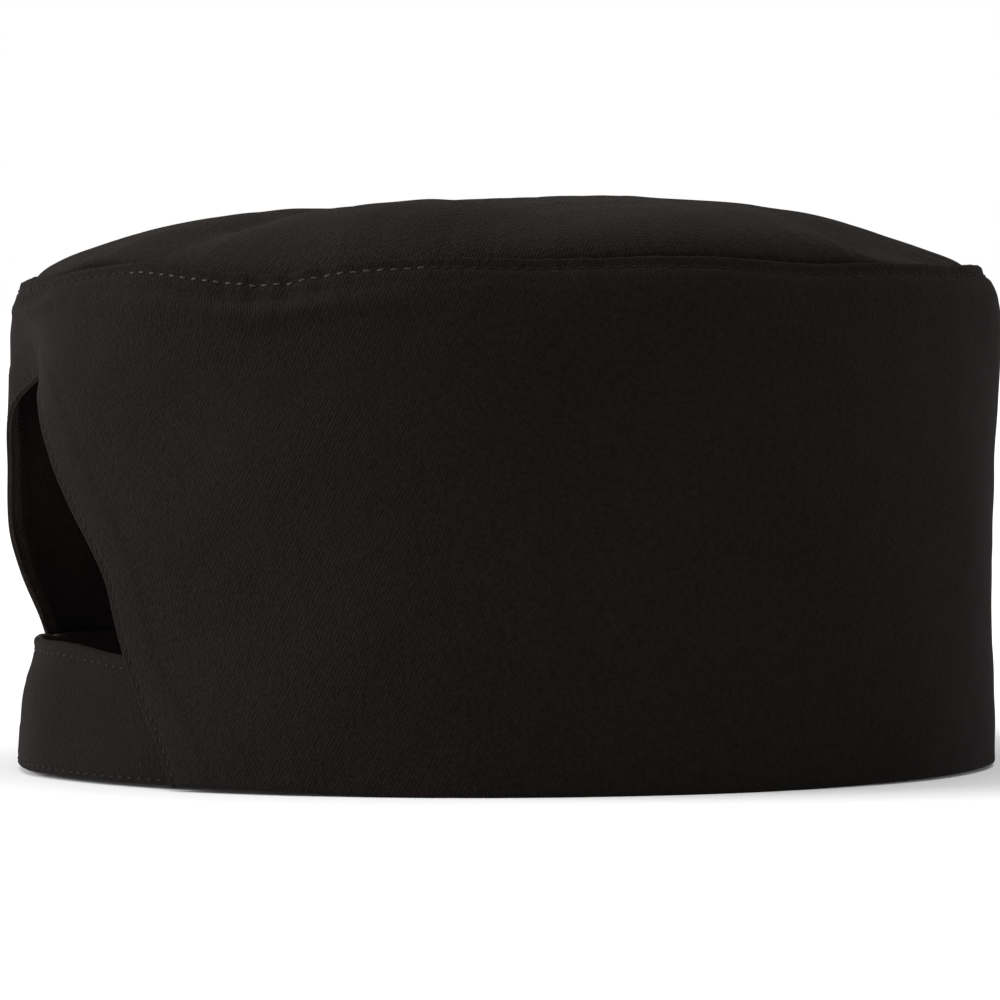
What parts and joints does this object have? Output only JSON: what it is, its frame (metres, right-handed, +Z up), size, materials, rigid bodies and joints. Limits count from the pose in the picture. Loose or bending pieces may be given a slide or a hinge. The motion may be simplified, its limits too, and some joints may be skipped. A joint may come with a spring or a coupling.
{
  "type": "chef skull cap",
  "caption": "Round cloth cap with a tall upright side band, a soft low crown and an open back closed along the rim by a plain strap.",
  "frame": {"origin": "on the floor under the middle of the cap's plan box, level with the rim", "axes": "+X towards the front of the cap, +Y towards the wearer's left, +Z up out of the crown"},
  "size_m": [0.196, 0.168, 0.1119],
  "materials": {
    "band_twill": "matt black cotton twill",
    "crown_twill": "matt black cotton twill, softer and slightly warmer",
    "strap_twill": "matt black cotton twill"
  },
  "bodies": {
    "root": {"side_band": "band_twill", "crown_panel": "crown_twill", "back_strap": "strap_twill"}
  },
  "joints": []
}
